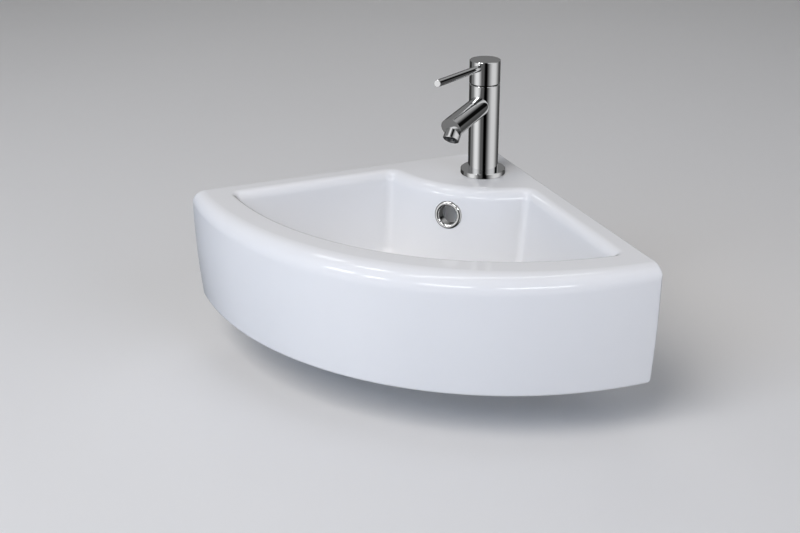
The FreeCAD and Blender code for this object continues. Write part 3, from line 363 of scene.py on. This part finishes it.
def apex_point(turn, gap):
    """A point of an outer loop's way round the wall corner, by its share of that way."""
    apex_end = 1 - APEX_START
    if APEX_START <= turn <= apex_end:
        angle = math.pi / 4 + (turn - APEX_START) / (apex_end - APEX_START) * math.pi / 2
        middle = -(gap + APEX_ROUND) / ROOT_HALF
        return APEX_ROUND * math.cos(angle), APEX_ROUND * math.sin(angle) + middle
    side, part = (1, turn) if turn < APEX_START else (-1, 1 - turn)
    along = SIDES_END + (gap + APEX_ROUND - SIDES_END) * part / APEX_START
    return at_wall(side, along, gap)


def house_ring(reach, gap):
    """A loop along the front and the two mounting walls, in plan."""
    reach, gap = ring_of(reach), ring_of(gap)
    points = np.zeros((RING, 2))
    along_front = front_and_sides(points, reach, gap, ring_of(UPRIGHT_ROUND))
    for side, name, share in ((1, "right", SHARE), (-1, "left", 1 - SHARE)):
        here = SEGMENT == name
        way = SIDES_EVEN * share + (1 - SIDES_EVEN) * share**2
        points[here] = at_wall(side, along_front + (SIDES_END - along_front) * way, gap)[here]
    home = np.flatnonzero(np.isin(SEGMENT, ("right_back", "back", "left_back")))
    for number, index in enumerate(home):
        points[index] = apex_point(number / len(home), gap[index])
    return points


def inward_at(depth):
    """How far a drafted wall has come in at a depth below the rim."""
    return depth * math.tan(DRAFT)


FLOOR_ROUND_Z = FLOOR_ROUND - BOWL_DEPTH         # middle of the rounding between wall and floor
FLOOR_IN = inward_at(-FLOOR_ROUND_Z) + FLOOR_ROUND / math.cos(DRAFT)


def circle(radius, z):
    """A loop round the waste, with its points at the bearings of the floor's."""
    floor = bowl_ring(FLOOR_IN, -BOWL_DEPTH)
    bearing = np.arctan2(floor[:, 1] - WASTE_Y, floor[:, 0])
    plan = np.column_stack([radius * np.cos(bearing), WASTE_Y + radius * np.sin(bearing)])
    return loop_at(plan, z)


def floor_loops():
    """The waste's hole and seat, the dished floor and its rounding up to the wall."""
    loops = [circle(radius, z) for radius, z in (
        (WASTE_HOLE, BOSS_Z + CHAMFER), (WASTE_HOLE, SEAT_Z - HOLE_CHAMFER),
        (WASTE_HOLE + HOLE_CHAMFER, SEAT_Z), (SEAT, SEAT_Z), (SEAT, SEAT_EDGE_Z - CHAMFER),
        (SEAT + CHAMFER, SEAT_EDGE_Z))]
    for share in np.linspace(0.12, 1, 9):
        fall = (SEAT_EDGE_Z + BOWL_DEPTH) * (1 - share**2 * (3 - 2 * share))
        loops.append(circle(SEAT + (DISH - SEAT) * share, -BOWL_DEPTH + fall))
    loops.append(bowl_ring(FLOOR_IN + FLOOR_MARGIN, -BOWL_DEPTH))
    for angle in np.linspace(math.pi / 2, DRAFT, 10):
        inward = FLOOR_IN - FLOOR_ROUND * math.cos(angle)
        loops.append(bowl_ring(inward, FLOOR_ROUND_Z - FLOOR_ROUND * math.sin(angle)))
    return loops


def rim_radius():
    """The rim's inner rounding, point by point: the corners blend those of the parts beside them."""
    ends = np.array([RIM_ROUNDS[name] for name in SEGMENT])
    radius = ends[:, 0] + (ends[:, 1] - ends[:, 0]) * SHARE
    reach = RIM_SMOOTHER // 2
    for _ in range(2):
        wrapped = np.concatenate([radius[-reach:], radius, radius[:reach]])
        radius = np.convolve(wrapped, np.ones(RIM_SMOOTHER) / RIM_SMOOTHER, "valid")
    return radius


def wall_loops():
    """The bowl's wall and the rim's inner rounding, up to where the rim is flat."""
    loops = []
    radius = rim_radius()
    bottom = -FLOOR_ROUND_Z + FLOOR_ROUND * math.sin(DRAFT)
    top = radius * (1 - math.sin(DRAFT))
    for share in np.linspace(0.1, 0.97, 9):
        depth = bottom + (top - bottom) * share
        loops.append(bowl_ring(inward_at(depth), -depth))
    centre = radius * (math.tan(DRAFT) - 1 / math.cos(DRAFT))
    for angle in np.linspace(DRAFT, math.pi / 2, 15):
        loops.append(bowl_ring(centre + radius * math.cos(angle), -radius + radius * math.sin(angle)))
    loops.append(bowl_ring(centre - RIM_STEP, 0.0))
    return loops


def round_drop(distance, radius):
    """How far a rounded edge has dropped at a distance inside it."""
    inside = np.clip(radius - distance, 0, radius)
    return radius - np.sqrt(radius**2 - inside**2)


def belly_reach(z):
    """How far the bellied front reaches from the wall corner at a height."""
    return LENGTH - BELLY + np.sqrt(BELLY**2 - (z + BELLY_DEPTH) ** 2)


def brow():
    """Radius of the front's top rounding and reach of its middle, point by point."""
    plan = house_ring(LENGTH, 0.0)
    azimuth = np.arctan2(plan[:, 0], -plan[:, 1])
    radius = BROW_MIDDLE + (BROW_END - BROW_MIDDLE) * np.clip(azimuth / (math.pi / 4), -1, 1) ** 2
    middle = LENGTH - BELLY + np.sqrt((BELLY - radius) ** 2 - (BELLY_DEPTH - radius) ** 2)
    return radius, middle


def rim_loop(reach, gap, brow_radius, brow_middle):
    """An outer loop at the height that the roundings of the front and of the wall edges give it."""
    plan = house_ring(reach, gap)
    distance = np.linalg.norm(plan, axis=1)
    over = np.clip((distance - brow_middle) / brow_radius, 0, BROW_LAST)
    front_drop = brow_radius * (1 - np.sqrt(1 - over**2))
    to_wall = [np.abs(plan @ np.array([ROOT_HALF * side, ROOT_HALF])) for side in (1, -1)]
    return loop_at(plan, -front_drop - round_drop(np.minimum(*to_wall), EDGE_ROUND))


def outside_loops(inner):
    """The flat rim from its inner edge, the outer roundings, the skirt and the foot."""
    radius, middle = brow()
    last = (BELLY_DEPTH - radius) / (BELLY - radius)
    first = rim_loop(middle - BROW_STEP, EDGE_ROUND + EDGE_STEP, radius, middle)
    loops = [inner + (first - inner) * share for share in (0.33, 0.67)] + [first]
    for share in np.linspace(0, 1, 15):
        angle = math.pi / 2 * (1 - share)
        turned = angle + (last - angle) * share
        gap = EDGE_ROUND * (1 - math.cos(angle))
        loops.append(rim_loop(middle + radius * np.cos(turned), gap, radius, middle))
    top, foot = loops[-1][:, 2], FOOT_ROUND - HEIGHT
    for share in np.linspace(0.08, 1, 12):
        z = top + (foot - top) * share
        loops.append(loop_at(house_ring(belly_reach(z), 0.0), z))
    for angle in np.linspace(math.pi / 10, math.pi / 2, 5):
        back = FOOT_ROUND * (1 - math.cos(angle))
        plan = house_ring(belly_reach(foot) - back, back)
        loops.append(loop_at(plan, foot - FOOT_ROUND * math.sin(angle)))
    return loops


def underside_loops():
    """The hollow behind the skirt, the bowl from below and the waste's boss."""
    inside, roof = LENGTH - SKIRT_WALL, -SLAB - HOLLOW_ROUND
    steps = ((1.4 * HOLLOW_CHAMFER, -HEIGHT), (HOLLOW_CHAMFER, -HEIGHT), (0.0, -HEIGHT + HOLLOW_CHAMFER),
             (0.0, -HEIGHT + 2 * HOLLOW_CHAMFER), (0.0, roof - HOLLOW_CHAMFER))
    loops = [loop_at(house_ring(inside + step, BACK_WALL - step), z) for step, z in steps]
    for angle in np.linspace(0.2, 1, 5) * math.pi / 2:
        back = HOLLOW_ROUND * (1 - math.cos(angle))
        plan = house_ring(inside - back, BACK_WALL + back)
        loops.append(loop_at(plan, roof + HOLLOW_ROUND * math.sin(angle)))
    shell = BOWL_WALL / math.cos(DRAFT)
    for depth in UNDER_DEPTHS:
        loops.append(bowl_ring(inward_at(depth) - shell, -depth))
    for angle in np.array((0.3, 0.7, 1.0)) * math.pi / 2:
        inward = inward_at(BOWL_DEPTH) - shell + BOWL_FOOT_ROUND * (1 - math.cos(angle))
        loops.append(bowl_ring(inward, -BOWL_DEPTH - BOWL_WALL * math.sin(angle)))
    under, hollowed = -BOWL_DEPTH - BOWL_WALL, 0.3 * BOSS_FILLET
    loops += [circle(radius, z) for radius, z in (
        (BOSS + BOSS_FILLET, under), (BOSS + hollowed, under - hollowed), (BOSS, under - BOSS_FILLET),
        (BOSS, BOSS_Z + CHAMFER), (BOSS - CHAMFER, BOSS_Z), (WASTE_HOLE + CHAMFER, BOSS_Z))]
    return loops


def basin_loops():
    inside = floor_loops() + wall_loops()
    return inside + outside_loops(inside[-1]) + underside_loops()


# ---------------------------------------------------------------- mesh tools


def solid_of(name, points, faces):
    """A mesh object from points in millimetres, its faces turned outward."""
    mesh = bpy.data.meshes.new(name)
    mesh.from_pydata([tuple(p) for p in np.asarray(points) * MM], [], faces)
    mesh.validate()
    edit = bmesh.new()
    edit.from_mesh(mesh)
    bmesh.ops.recalc_face_normals(edit, faces=edit.faces)
    edit.to_mesh(mesh)
    edit.free()
    piece = bpy.data.objects.new(name, mesh)
    bpy.context.collection.objects.link(piece)
    return piece


def prism(first, second):
    """A bar between two outlines of equally many points."""
    count = len(first)
    faces = [(i, (i + 1) % count, count + (i + 1) % count, count + i) for i in range(count)]
    faces += [tuple(range(count))[::-1], tuple(range(count, 2 * count))]
    return solid_of("tool", first + second, faces)


def across(profile, half):
    """A bar of one profile of (y, z) corners, from -half to half across."""
    return prism(*([(x, y, z) for y, z in profile] for x in (-half, half)))


def rod(radius, start, end, sides=64):
    start, end = Vector(start), Vector(end)
    turn = (end - start).to_track_quat("Z", "Y")
    angles = [2 * math.pi * i / sides for i in range(sides)]
    spokes = [turn @ Vector((radius * math.cos(a), radius * math.sin(a), 0)) for a in angles]
    return prism(*([middle + spoke for spoke in spokes] for middle in (start, end)))


def cut(piece, tool, operation="DIFFERENCE"):
    """Takes the tool away from the piece, or adds it, and removes the tool."""
    change = piece.modifiers.new("cut", "BOOLEAN")
    change.operation, change.object, change.solver = operation, tool, "EXACT"
    graph = bpy.context.evaluated_depsgraph_get()
    mesh = bpy.data.meshes.new_from_object(piece.evaluated_get(graph))
    piece.modifiers.clear()
    piece.data = mesh
    bpy.data.objects.remove(tool)


def shade_smooth(piece):
    for face in piece.data.polygons:
        face.use_smooth = True
    piece.data.set_sharp_from_angle(angle=SHARP_ANGLE)


def lathe(name, profile, centre, axis, sides=96):
    """A closed profile of (radius, height) points turned about an axis."""
    turn = Vector(axis).to_track_quat("Z", "Y")
    points = []
    for i in range(sides):
        a = 2 * math.pi * i / sides
        points += [Vector(centre) + turn @ Vector((r * math.cos(a), r * math.sin(a), h)) for r, h in profile]
    count = len(profile)
    faces = []
    for i in range(sides):
        a, b = i * count, (i + 1) % sides * count
        faces += [(a + j, a + (j + 1) % count, b + (j + 1) % count, b + j) for j in range(count)]
    piece = solid_of(name, points, faces)
    shade_smooth(piece)
    return piece


# ---------------------------------------------------------------- the basin and its overflow ring

# The overflow's duct behind the bowl's back and under its floor, as corners (y, z), and the ceramic round it.
DUCT_HALF, DUCT_WALL = 11.0, 6.0
DUCT = ((-107.0, -14.0), (-119.5, -14.0), (-119.5, -94.0), (-181.0, -94.0), (-181.0, -102.0),
        (-107.0, -102.0))
CASING = ((-101.0, -10.0), (-122.0, -10.0), (-134.2, -86.0), (-140.0, -89.0), (-175.0, -89.0),
          (-175.0, BOSS_Z), (-101.0, BOSS_Z))
# Each hole's place and radius, and how far its cutter starts and ends from that place.
OVERFLOW_Y, OVERFLOW_Z, OVERFLOW_HOLE, OVERFLOW_ENDS = -128.15, -26.2, 10.8, (-8.0, 15.0)
TAP_X, TAP_Y, TAP_HOLE, TAP_ENDS = 13.7, -69.9, 17.5, (-20.0, 5.0)
FIXING_ALONG, FIXING_Z, FIXING_HOLE, FIXING_ENDS, FIXING_SIDES = 190.0, -60.0, 6.0, (-5.0, 15.0), 48

RING_FLANGE, RING_BORE, RING_SLEEVE, RING_PROUD, RING_DEPTH = 13.6, 9.2, 10.6, 2.3, 9.4
RING_SEATED, RING_EDGE, RING_CHAMFER, RING_STEPS = 0.02, 0.35, 0.3, 14


def make_overflow_ring():
    """The ring's front is rolled, so its profile is half an oval between the bore and the rim."""
    middle, half = (RING_FLANGE + RING_BORE) / 2, (RING_FLANGE - RING_BORE) / 2
    profile = [(RING_FLANGE, RING_SEATED)]
    for i in range(RING_STEPS + 1):
        a = math.pi * i / RING_STEPS
        profile.append((middle + half * math.cos(a), RING_EDGE + (RING_PROUD - RING_EDGE) * math.sin(a)))
    profile += [(RING_BORE, RING_CHAMFER - RING_DEPTH), (RING_BORE + RING_CHAMFER, -RING_DEPTH),
                (RING_SLEEVE - RING_CHAMFER, -RING_DEPTH), (RING_SLEEVE, RING_CHAMFER - RING_DEPTH),
                (RING_SLEEVE, RING_SEATED)]
    forward = (0, -math.cos(DRAFT), math.sin(DRAFT))
    ring = lathe("overflow_ring_rolled", profile, (0, OVERFLOW_Y, OVERFLOW_Z), forward)
    ring.data.materials.append(FINISH["bright_chrome"])
    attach(ring, "basin")
    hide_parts("overflow_ring")


def cut_holes(basin):
    overflow = ((0, OVERFLOW_Y + end, OVERFLOW_Z - inward_at(end)) for end in OVERFLOW_ENDS)
    cut(basin, rod(OVERFLOW_HOLE, *overflow))
    cut(basin, rod(TAP_HOLE, *((TAP_X, TAP_Y, end) for end in TAP_ENDS)))
    for side in (1, -1):
        ends = [at_wall(side, FIXING_ALONG, gap) for gap in FIXING_ENDS]
        cut(basin, rod(FIXING_HOLE, *((*map(float, end), FIXING_Z) for end in ends), FIXING_SIDES))


def make_basin():
    loops = basin_loops()
    faces = []
    for row in range(len(loops)):
        a, b = row * RING, (row + 1) % len(loops) * RING
        faces += [(a + i, a + (i + 1) % RING, b + (i + 1) % RING, b + i) for i in range(RING)]
    basin = solid_of("basin_shell", np.concatenate(loops), faces)
    cut(basin, across(CASING, DUCT_HALF + DUCT_WALL), "UNION")
    cut(basin, across(DUCT, DUCT_HALF))
    cut_holes(basin)
    shade_smooth(basin)
    basin.modifiers.new("shade", "WEIGHTED_NORMAL").keep_sharp = True
    basin.data.materials.clear()
    basin.data.materials.append(FINISH["white_ceramic"])
    # bright metal mirrors the studio in place of the basin round it
    basin.visible_glossy = False
    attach(basin, "basin")
    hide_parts("basin_body")


# ---------------------------------------------------------------- floor

FLOOR_HALF, FLOOR_GAP = 6.0, 0.5 * MM
FLOOR_GREYS = (0.80, 0.80, 0.80, 1), (0.82, 0.82, 0.82, 1)


def make_floor():
    z = CAD_BOX[0][2] - FLOOR_GAP
    corners = [(x * FLOOR_HALF, y * FLOOR_HALF, z) for x, y in ((-1, -1), (1, -1), (1, 1), (-1, 1))]
    mesh = bpy.data.meshes.new("floor")
    mesh.from_pydata(corners, [], [(0, 1, 2, 3)])
    floor = bpy.data.objects.new("floor", mesh)
    bpy.context.collection.objects.link(floor)
    material, graph, shader = surface("floor", Roughness=0.9)
    graph.put(shader.inputs["Base Color"], graph.mix(graph.noise(graph.place(), scale=3.0), *FLOOR_GREYS))
    mesh.materials.append(material)
    floor.visible_glossy = False


# ---------------------------------------------------------------- world

# The backdrop that the camera sees, and the level of the world's soft light.
BACKDROP = (0.86, 0.86, 0.86, 1)
SOFT_LIGHT, SOFT_STRENGTH = (1.0, 1.0, 1.0, 1), 0.14

# What glossy surfaces mirror. Bearings are degrees round the object, from the camera to the right. Right,
# front and up are the parts of a unit arrow. Each ramp is from, to, level before and level after, and the
# levels are 0 and 1 where it has none. What it goes by stands beside it.
LEFT_BOX = (-104.0, -66.0, 0.15, 1.0), (-57.0, -22.0, 1.0, 0.12), (-15.0, 0.0, 1.0, 0.0)      # bearing
RIGHT_BOX = (9.0, 60.0, 0.0, 0.82), (76.0, 122.0, 1.0, 0.05)                    # bearing
BOXES_FOOT = (-0.85, -0.55, 0.15, 1.0)                                          # up
DIM_SIDES = (85.0, 125.0, 0.0, 0.12)                                            # bearing, to either side
GAP_MIDDLE, GAP_EDGE = 0.07, (0.08, 0.15)                                       # right, off the middle
BEHIND = (-0.55, -0.35, 1.0, 0.0)                                               # front
BEHIND_RIGHT, BEHIND_UP = (0.10, 0.50, 0.22, 0.42), (0.06, 0.22, 0.2, 1.0)      # right, up
PATCH_MIDDLE, PATCH_EDGE = 118.0, (12.0, 26.0, 0.02, 1.0)                       # bearing, off the middle
PATCH_FOOT, PATCH_TOP = (-0.10, 0.06, 1.0, 0.02), (0.32, 0.62)                  # up

# Small windows: bearings from and to, degrees up from and to, strength; and how soft their edges are.
WINDOWS = (
    (-134.0, -108.0, 56.0, 62.0, 4.0), (-100.0, -78.0, 62.0, 69.5, 7.0), (-67.0, -56.0, 27.0, 36.0, 8.0),
    (-51.0, -43.0, 26.5, 34.0, 9.0), (-31.0, -12.0, 27.0, 36.0, 6.5), (-2.0, 24.0, 26.5, 33.0, 9.0),
)
WINDOW_SOFT_ROUND, WINDOW_SOFT_UP = 1.0, 0.7
# A long strip overhead, in a plane at height 1.
STRIP_HEADING, STRIP_OFFSET = math.radians(133.3), -0.055
STRIP_HALF_WIDTH, STRIP_HALF_LENGTH, STRIP_SOFT, STRIP_STRENGTH = 0.05, 0.45, 0.2, 4.0
STRIP_LOWEST = 0.05              # the least height that the plane is divided by


def off_from(graph, value, middle):
    """How far a value is from a middle, to either side."""
    return graph.math("ABSOLUTE", graph.math("SUBTRACT", value, middle))


def soft_boxes(graph, right, bearing, up):
    """A tall soft box to each side of the camera, a dark gap between them and dim sides beyond."""
    left_box = graph.times(*(graph.ramp(bearing, *ramp) for ramp in LEFT_BOX))
    right_box = graph.times(*(graph.ramp(bearing, *ramp) for ramp in RIGHT_BOX))
    boxes = graph.times(graph.math("ADD", left_box, right_box), graph.ramp(up, *BOXES_FOOT))
    boxes = graph.math("ADD", boxes, graph.ramp(graph.math("ABSOLUTE", bearing), *DIM_SIDES))
    return graph.times(boxes, graph.ramp(off_from(graph, right, GAP_MIDDLE), *GAP_EDGE))


def dark_patch(graph, bearing, up):
    """The share of light left by a dark patch low behind the object on the right."""
    above_or_below = graph.math("MAXIMUM", graph.ramp(up, *PATCH_FOOT), graph.ramp(up, *PATCH_TOP))
    beside = graph.ramp(off_from(graph, bearing, PATCH_MIDDLE), *PATCH_EDGE)
    return graph.math("MAXIMUM", above_or_below, beside)


def window(graph, bearing, elevation, west, east, low, high, strength):
    level = strength
    for value, start, end, soft in ((bearing, west, east, WINDOW_SOFT_ROUND),
                                    (elevation, low, high, WINDOW_SOFT_UP)):
        level = graph.times(graph.ramp(value, start - soft, start + soft), level)
        level = graph.times(graph.ramp(value, end - soft, end + soft, 1.0, 0.0), level)
    return level


def strip(graph, right, front, up):
    height = graph.math("MAXIMUM", up, STRIP_LOWEST)
    east, south = graph.math("DIVIDE", right, height), graph.math("DIVIDE", front, height)
    sine, cosine = math.sin(STRIP_HEADING), math.cos(STRIP_HEADING)
    along = graph.math("ADD", graph.times(east, sine), graph.times(south, cosine))
    beside = graph.math("SUBTRACT", graph.times(south, sine), graph.times(east, cosine))
    long_edge = STRIP_HALF_LENGTH, STRIP_HALF_LENGTH * (1 + STRIP_SOFT)
    side_edge = STRIP_HALF_WIDTH * (1 - STRIP_SOFT), STRIP_HALF_WIDTH * (1 + STRIP_SOFT)
    level = graph.times(graph.ramp(graph.math("ABSOLUTE", along), *long_edge, 1.0, 0.0),
                        graph.ramp(off_from(graph, beside, STRIP_OFFSET), *side_edge, 1.0, 0.0))
    return graph.times(level, STRIP_STRENGTH)


def mirrored_level(graph):
    """How bright a glossy surface finds the studio in each direction."""
    x, y, up = graph.split(graph.add("ShaderNodeTexCoord").outputs["Generated"])
    sine, cosine = math.sin(VIEW_AZIMUTH), math.cos(VIEW_AZIMUTH)
    right = graph.math("ADD", graph.times(x, cosine), graph.times(y, sine))
    front = graph.math("SUBTRACT", graph.times(x, sine), graph.times(y, cosine))
    bearing = graph.times(graph.math("ARCTAN2", right, front), math.degrees(1))
    elevation = graph.times(graph.math("ARCSINE", up), math.degrees(1))
    behind = graph.ramp(front, *BEHIND)
    before = graph.times(soft_boxes(graph, right, bearing, up), graph.math("SUBTRACT", 1.0, behind))
    beyond = graph.times(graph.ramp(up, *BEHIND_UP), graph.ramp(right, *BEHIND_RIGHT), behind)
    level = graph.times(graph.math("ADD", before, beyond), dark_patch(graph, bearing, up))
    for row in WINDOWS:
        level = graph.math("ADD", level, window(graph, bearing, elevation, *row))
    return graph.math("ADD", level, strip(graph, right, front, up))


def make_world():
    world = bpy.data.worlds.new("studio")
    bpy.context.scene.world = world
    graph = Graph(world)
    kinds = ({"Color": SOFT_LIGHT, "Strength": SOFT_STRENGTH}, {"Strength": mirrored_level(graph)},
             {"Color": BACKDROP, "Strength": 1.0})
    soft, studio, plain = [graph.add("ShaderNodeBackground", links).outputs[0] for links in kinds]
    ray = graph.add("ShaderNodeLightPath").outputs
    unseen = graph.add("ShaderNodeMixShader", {0: ray["Is Glossy Ray"], 1: soft, 2: studio}).outputs[0]
    seen = graph.add("ShaderNodeMixShader", {0: ray["Is Camera Ray"], 1: unseen, 2: plain}).outputs[0]
    out = graph.add("ShaderNodeOutputWorld")
    graph.tree.links.new(seen, out.inputs["Surface"])


# ---------------------------------------------------------------- lamps

# Large soft lamps: name, degrees round the object from the camera to the right, degrees up, watts, colour.
LAMPS = (
    ("key_light", -40, 50, 43.0, (1.00, 0.955, 0.915)),
    ("left_light", -50, 20, 14.5, (0.36, 0.60, 1.00)),
    ("right_light", 50, 25, 14.0, (0.78, 0.84, 1.00)),
    ("back_light", 180, 50, 6.5, (1.00, 1.00, 1.00)),
)
LAMP_SIZE, LAMP_DISTANCE = 1.6, 2.6
LAMP_AIM = Vector((0.0, -0.15, -0.03))


def make_lights():
    for name, bearing, elevation, power, colour in LAMPS:
        way = way_to(VIEW_AZIMUTH + math.radians(bearing), math.radians(elevation))
        data = bpy.data.lights.new(name, "AREA")
        data.shape = "RECTANGLE"
        data.size, data.size_y = LAMP_SIZE, LAMP_SIZE
        data.energy = power
        data.color = colour
        lamp = bpy.data.objects.new(name, data)
        lamp.location = LAMP_AIM + way * LAMP_DISTANCE
        lamp.rotation_euler = (-way).to_track_quat("-Z", "Y").to_euler()
        lamp.visible_glossy = False
        bpy.context.collection.objects.link(lamp)


# ---------------------------------------------------------------- the scene

make_camera()
make_world()
make_floor()
make_lights()
finish_nodes()
make_basin()
make_overflow_ring()

scene = bpy.context.scene
scene.view_settings.view_transform = "Standard"
